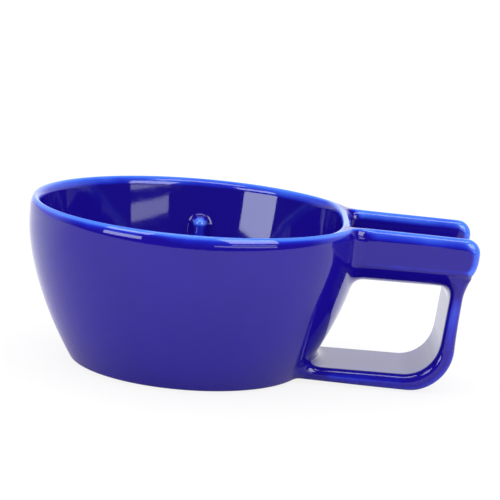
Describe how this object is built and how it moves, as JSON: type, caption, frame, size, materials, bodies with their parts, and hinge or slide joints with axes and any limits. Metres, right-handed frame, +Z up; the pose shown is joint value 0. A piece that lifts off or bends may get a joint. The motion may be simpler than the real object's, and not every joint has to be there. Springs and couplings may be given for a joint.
{
  "type": "shaving mug",
  "caption": "Round-bellied glazed lather bowl on a wiped foot, with inner lathering ribs, a railed brush rest level with the rim, and a wide strap handle below it.",
  "frame": {"origin": "on the bowl's own axis, at table level, in the middle of the foot", "axes": "+Z up out of the bowl, +X along the handle away from the bowl, Y across the handle"},
  "size_m": [0.1739, 0.13, 0.0632],
  "materials": {
    "bowl_glaze": "deep cobalt gloss glaze, lighter where it thins over the lip",
    "rest_glaze": "deep cobalt gloss glaze, lighter on the rail edges",
    "strap_glaze": "deep cobalt gloss glaze, lighter on the strap edges",
    "rib_glaze": "deep cobalt gloss glaze",
    "bare_foot": "unglazed, wiped clean and lightly ground"
  },
  "bodies": {
    "root": {"bowl_body": "bowl_glaze", "foot_disc": "bare_foot", "rest_rail_front": "rest_glaze", "rest_rail_rear": "rest_glaze", "rest_floor": "rest_glaze", "handle_strap": "strap_glaze", "lather_rib_1": "rib_glaze", "lather_rib_2": "rib_glaze", "lather_rib_3": "rib_glaze", "lather_rib_4": "rib_glaze"}
  },
  "joints": []
}
